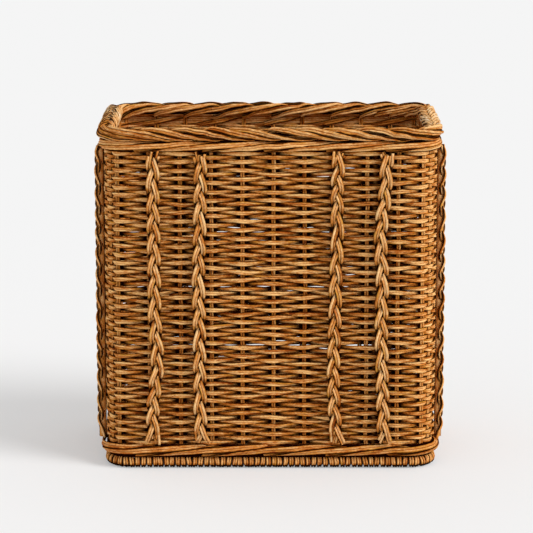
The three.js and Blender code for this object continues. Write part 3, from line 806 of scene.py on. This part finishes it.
def braid(
    name, length, bends, bottom, uneven, wrap, core_out, core_radius, core_raised, core_short
):
    """Three strands that cross in turn: with p = 2 pi (way down) / 65 mm and a third of a turn
    between strands, a strand lies 4.1 sin p mm to the side and 2.7 sin 2p mm in front of the
    braid's middle, so that it is in front while it goes outwards. `bends` are the mm by which
    that middle lies to the right at eight even steps from the top. At both ends the strands
    keep their slope and spread, and each rod ends in a cut of its own, up to `uneven` short. At
    the bottom they sink 3 mm towards the wall. A strand's two rods lie side by side, rolled a
    little about it, and are out of the painted shade where the strand is in front or spreads,
    and in it where the strand goes under. `wrap` is how far the painted light of a rod at the
    braid's side is turned sideways. The thick rod under the plait lies `core_out` in front of
    the stakes and stops `core_short` above the braid's end; it is kept dark, painted shade in the
    gaps of the plait. The argument after its radius is how raised it is: at 0 both its flanks are
    half in painted shade, and at -1.2 only the left one is out of it."""
    steps, spread_length, sink_length, sink_depth = 112, 0.008, 0.026, 0.003
    side_swing, middle_out, front_swing, end_drop = 0.0041, 0.0096, 0.0027, 0.0012
    half_width, pace_change = 0.0047, 0.004
    point, outward = outline(np.array(length))
    sideways = np.cross(up, outward)
    whole = braid_top - bottom
    grid = np.linspace(0, whole, 160)
    sway = through(np.linspace(0, whole, 8), np.array(bends)[:, None], grid)[:, 0] / 1000
    pace = pace_change * wander(1, grid, 0.3)[0]
    first, last = dice.uniform(0.006, 0.010), whole - dice.uniform(0.011, 0.014)
    begin = dice.uniform(0, whole_turn)
    paths, facing, raised = [], [], []
    for strand in range(3):
        plaited = np.clip(grid, first, last) + pace
        turned = whole_turn * plaited / (3 * lobe) + strand * whole_turn / 3 + begin
        aside = side_swing * np.sin(turned)
        slope = np.clip(np.gradient(aside, grid), -0.5, 0.5)
        slope_up = slope[np.searchsorted(grid, first) + 1]
        slope_down = slope[np.searchsorted(grid, last) - 2]
        aside = aside + np.minimum(grid - first, 0) * slope_up
        aside = aside + np.maximum(grid - last, 0) * slope_down
        loose = np.clip(np.maximum(first - grid, grid - last) / spread_length, 0, 1)
        ahead = middle_out + front_swing * np.sin(2 * turned) * (1 - 0.5 * loose)
        sink = np.clip((grid - whole + sink_length) / sink_length, 0, 1)
        ahead = ahead - end_drop * loose - sink_depth * sink**2
        for hand in (-1, 1):
            down = np.linspace(dice.uniform(0, uneven), whole - dice.uniform(0, uneven), steps)
            p = np.interp(down, grid, turned)
            heart = (
                point
                + sideways * np.interp(down, grid, sway + aside)[:, None]
                + outward * np.interp(down, grid, ahead)[:, None]
                + up * (braid_top - down)[:, None]
            )
            heading = unit(np.gradient(heart, axis=0))
            beside = unit(np.cross(heading, outward))
            roll = (0.1 * np.sin(3 * p + begin) - 0.2 * np.sin(p) * np.abs(np.sin(p)))[:, None]
            flat = beside * np.cos(roll) + outward * np.sin(roll)
            paths.append(heart + hand * braid_rod * flat)
            at_side = wrap * sideways * np.interp(down, grid, aside)[:, None] / half_width
            facing.append(unit(np.cross(flat, heading) + at_side - 0.65 * hand * flat))
            on_top = 0.65 + 2 * np.sin(2 * p) + 2 * np.interp(down, grid, loose)
            raised.append(np.clip(on_top, -1.2, 1))
    # The thick rod is mostly in painted shade: a dark rod that fills the gaps of the plait.
    down = np.linspace(first / 2, whole - core_short, steps)
    heart = point + sideways * np.interp(down, grid, sway)[:, None] + outward * core_out
    paths.append(heart + up * (braid_top - down)[:, None])
    facing.append(sideways + 0 * heart)
    raised.append(np.full(steps, core_raised))
    radius = braid_rod * (1 + 0.05 * wander(len(paths), np.linspace(0, whole, steps), 0.1))
    radius[-1] = core_radius
    lay_rods(
        f"{name}_strands",
        np.stack(paths),
        radius,
        outward,
        braid_finish,
        [name],
        sides=10,
        facing=np.stack(facing),
        raised=np.stack(raised),
    )


front_bends = [
    (-0.3, -0.6, 0.0, 0.3, 0.6, 2.9, -1.8, -2.3),
    (1.3, 1.0, 0.1, -1.2, -0.5, -0.3, 0.0, 1.0),
    (3.0, 1.2, 1.6, 0.3, -0.5, -1.7, -1.0, 2.2),
    (3.7, 1.8, -2.4, -0.3, -1.0, 0.0, 1.2, 2.6),
]
on_long_side = {
    "bottom": 0.0255, "uneven": 0.007, "wrap": 0.85,
    "core_out": 0.0073, "core_radius": 0.0033, "core_raised": -1.2, "core_short": 0.012,
}
at_end = {
    "bottom": 0.0215, "uneven": 0.002, "wrap": 1.6,
    "core_out": 0.0080, "core_radius": 0.0038, "core_raised": 0.0, "core_short": 0.002,
}
for k, wall in enumerate(("front", "right", "back", "left")):
    make = on_long_side if wall in ("front", "back") else at_end
    for number, spot in enumerate(braid_places[k]):
        bends = front_bends[number] if wall == "front" else dice.normal(0, 0.7, 8)
        braid(f"braid_{wall}_{number + 1}", side_middles[k] + spot, bends, **make)

# Studio: a plain pale floor that goes on behind the basket, one large soft lamp to the right of
# it and a little in front, 40 degrees high, and an even pale sky.
floor_half = 30
floor_mesh = bpy.data.meshes.new("studio_floor")
floor_corners = [(-1, -1), (1, -1), (1, 1), (-1, 1)]
floor_mesh.from_pydata(
    [(x * floor_half, y * floor_half, 0) for x, y in floor_corners], [], [(0, 1, 2, 3)]
)
floor = bpy.data.objects.new("studio_floor", floor_mesh)
bpy.context.scene.collection.objects.link(floor)
paper = bpy.data.materials.new("studio_paper")
paper.use_nodes = True
paper_nodes, paper_links = paper.node_tree.nodes, paper.node_tree.links
paper_skin = paper_nodes["Principled BSDF"]
paper_skin.inputs["Base Color"].default_value = (0.89, 0.89, 0.89, 1)
paper_skin.inputs["Roughness"].default_value = 0.9
paper_skin.inputs["Specular IOR Level"].default_value = 0.0
glow = paper_nodes.new("ShaderNodeEmission")
glow.inputs["Color"].default_value = (0.905, 0.905, 0.905, 1)
rays = paper_nodes.new("ShaderNodeLightPath").outputs
part_glow = paper_nodes.new("ShaderNodeMixShader")
glow_share = 0.35
seen_or_mirrored = weighed(
    paper_nodes, paper_links, "MAXIMUM", rays["Is Camera Ray"], rays["Is Glossy Ray"]
)
glows = weighed(paper_nodes, paper_links, "MULTIPLY", seen_or_mirrored, glow_share)
paper_links.new(glows, part_glow.inputs["Fac"])
paper_links.new(paper_skin.outputs["BSDF"], part_glow.inputs[1])
paper_links.new(glow.outputs["Emission"], part_glow.inputs[2])
paper_links.new(part_glow.outputs["Shader"], paper_nodes["Material Output"].inputs["Surface"])
floor_mesh.materials.append(paper)

lamp_data = bpy.data.lights.new("studio_lamp", "SUN")
lamp_data.energy = 2.1
lamp_data.angle = math.radians(28)
lamp = bpy.data.objects.new("studio_lamp", lamp_data)
lamp.rotation_euler = (math.radians(50), 0.0, math.radians(62))
bpy.context.scene.collection.objects.link(lamp)

sky = bpy.data.worlds.new("studio_sky")
bpy.context.scene.world = sky
sky.use_nodes = True
sky.node_tree.nodes["Background"].inputs["Color"].default_value = (1.0, 1.0, 1.0, 1)
sky.node_tree.nodes["Background"].inputs["Strength"].default_value = 0.6
bpy.context.scene.view_settings.view_transform = "Standard"
